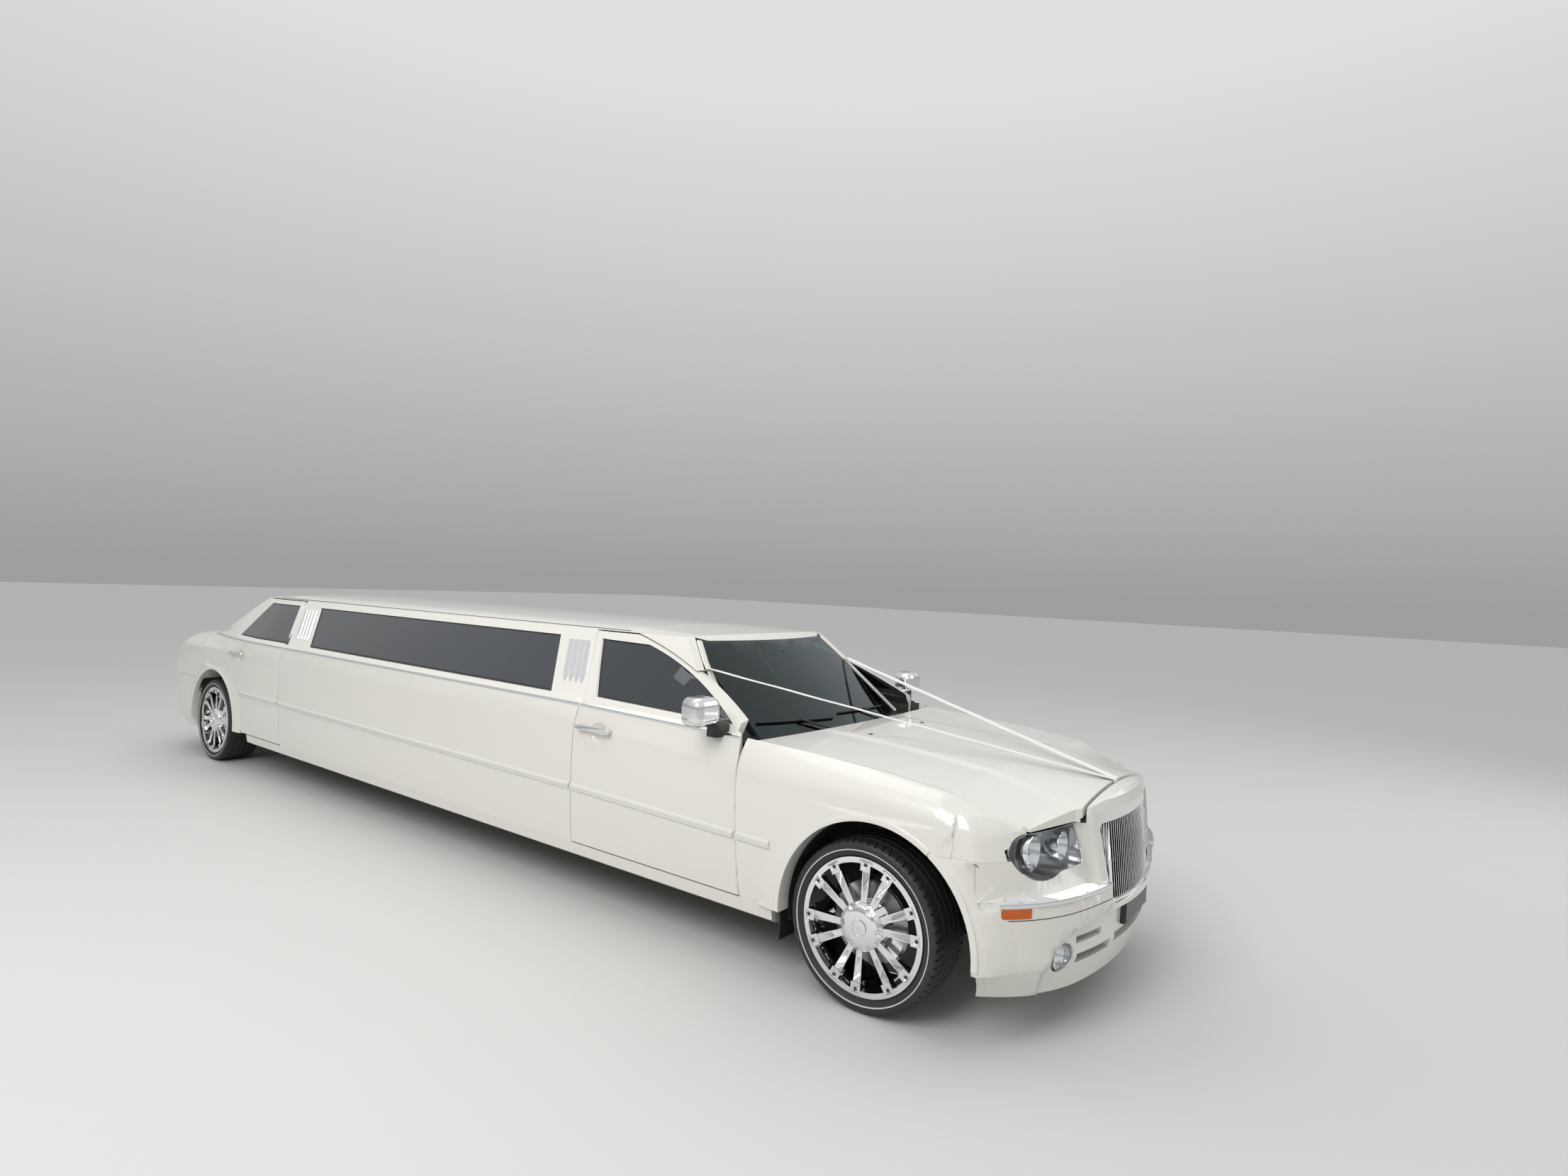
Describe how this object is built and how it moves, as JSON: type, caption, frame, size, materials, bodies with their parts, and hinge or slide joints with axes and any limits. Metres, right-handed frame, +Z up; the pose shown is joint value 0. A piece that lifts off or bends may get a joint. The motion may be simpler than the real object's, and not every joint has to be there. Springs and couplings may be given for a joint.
{
  "type": "stretch limousine",
  "caption": "Long white saloon car with a stretched middle, chrome wheels and grille, dark side windows, opening doors, bonnet and boot lid, steered front wheels and a furnished cabin.",
  "frame": {"origin": "on the ground, under the middle of the car's length and width", "axes": "front towards -Y, the car's left towards +X, +Z up"},
  "size_m": [2.14, 8.5548, 1.4939],
  "materials": {
    "paint": "pearl white gloss",
    "chrome": "polished",
    "tyre": "matte",
    "dark_glass": "tinted",
    "clear_glass": "green tint",
    "lamp_glass": "clear lens",
    "red_lens": "red lens",
    "black_plastic": "grained",
    "trim_plastic": "soft touch",
    "chassis_steel": "black coated steel",
    "alloy": "cast",
    "seat_leather": "black leather"
  },
  "bodies": {
    "root": {"roof": "paint", "floor_pan": "chassis_steel", "chassis_frame": "chassis_steel", "sills": "paint", "front_bumper": "paint", "rear_bumper": "paint", "grille": "chrome", "radiator": "black_plastic", "front_lamps": "lamp_glass", "tail_lamps": "red_lens", "windscreen": "clear_glass", "cabin_glass": "dark_glass", "cowl": "black_plastic", "parcel_shelf": "paint", "wheel_housings": "black_plastic", "engine": "alloy", "front_suspension": "chassis_steel", "rear_axle": "chassis_steel", "exhaust": "alloy", "front_seats": "seat_leather", "rear_seats": "seat_leather", "side_bench": "seat_leather", "partition": "trim_plastic", "dashboard": "trim_plastic", "steering_wheel": "trim_plastic", "side_panel_left": "paint", "side_panel_right": "paint", "quarter_panel_left": "paint", "quarter_panel_right": "paint", "wing_left": "paint", "wing_right": "paint", "pillar_louvres_left": "chrome", "pillar_louvres_right": "chrome"},
    "front_door_left": {"door_front_left": "paint", "door_glass_front_left": "dark_glass", "door_handle_front_left": "chrome", "side_mirror_left": "chrome"},
    "rear_door_left": {"door_rear_left": "paint", "door_glass_rear_left": "dark_glass", "door_handle_rear_left": "chrome"},
    "steering_left": {"knuckle_left": "chassis_steel"},
    "front_wheel_left": {"wheel_front_left": "chrome", "tyre_front_left": "tyre"},
    "rear_wheel_left": {"wheel_rear_left": "chrome", "tyre_rear_left": "tyre"},
    "front_door_right": {"door_front_right": "paint", "door_glass_front_right": "dark_glass", "door_handle_front_right": "chrome", "side_mirror_right": "chrome"},
    "rear_door_right": {"door_rear_right": "paint", "door_glass_rear_right": "dark_glass", "door_handle_rear_right": "chrome"},
    "steering_right": {"knuckle_right": "chassis_steel"},
    "front_wheel_right": {"wheel_front_right": "chrome", "tyre_front_right": "tyre"},
    "rear_wheel_right": {"wheel_rear_right": "chrome", "tyre_rear_right": "tyre"},
    "bonnet": {"bonnet": "paint"},
    "boot_lid": {"boot_lid": "paint"}
  },
  "joints": [
    {"name": "front_door_hinge_left", "type": "hinge", "parent": "root", "child": "front_door_left", "pos_m": [0.895, -2.6795, 0.7], "axis": [0, 0, -1], "range_deg": [0, 65]},
    {"name": "rear_door_hinge_left", "type": "hinge", "parent": "root", "child": "rear_door_left", "pos_m": [0.895, 1.9605, 0.7], "axis": [0, 0, -1], "range_deg": [0, 65]},
    {"name": "front_door_hinge_right", "type": "hinge", "parent": "root", "child": "front_door_right", "pos_m": [-0.895, -2.6795, 0.7], "axis": [0, 0, 1], "range_deg": [0, 65]},
    {"name": "rear_door_hinge_right", "type": "hinge", "parent": "root", "child": "rear_door_right", "pos_m": [-0.895, 1.9605, 0.7], "axis": [0, 0, 1], "range_deg": [0, 65]},
    {"name": "bonnet_hinge", "type": "hinge", "parent": "root", "child": "bonnet", "pos_m": [0, -2.8075, 1.009], "axis": [-1, 0, 0], "range_deg": [0, 50]},
    {"name": "boot_hinge", "type": "hinge", "parent": "root", "child": "boot_lid", "pos_m": [0, 3.5935, 1.086], "axis": [1, 0, 0], "range_deg": [0, 70]},
    {"name": "steer_left", "type": "hinge", "parent": "root", "child": "steering_left", "pos_m": [0.745, -3.4155, 0.352], "axis": [0, 0, 1], "range_deg": [-32, 32]},
    {"name": "front_wheel_spin_left", "type": "hinge", "parent": "steering_left", "child": "front_wheel_left", "pos_m": [0.782, -3.4155, 0.352], "axis": [1, 0, 0], "continuous": true},
    {"name": "rear_wheel_spin_left", "type": "hinge", "parent": "root", "child": "rear_wheel_left", "pos_m": [0.782, 3.1885, 0.352], "axis": [1, 0, 0], "continuous": true},
    {"name": "steer_right", "type": "hinge", "parent": "root", "child": "steering_right", "pos_m": [-0.745, -3.4155, 0.352], "axis": [0, 0, 1], "range_deg": [-32, 32]},
    {"name": "front_wheel_spin_right", "type": "hinge", "parent": "steering_right", "child": "front_wheel_right", "pos_m": [-0.782, -3.4155, 0.352], "axis": [1, 0, 0], "continuous": true},
    {"name": "rear_wheel_spin_right", "type": "hinge", "parent": "root", "child": "rear_wheel_right", "pos_m": [-0.782, 3.1885, 0.352], "axis": [1, 0, 0], "continuous": true}
  ],
  "couplings": [
    {"joint": "steer_right", "follows": "steer_left", "ratio": 1}
  ]
}
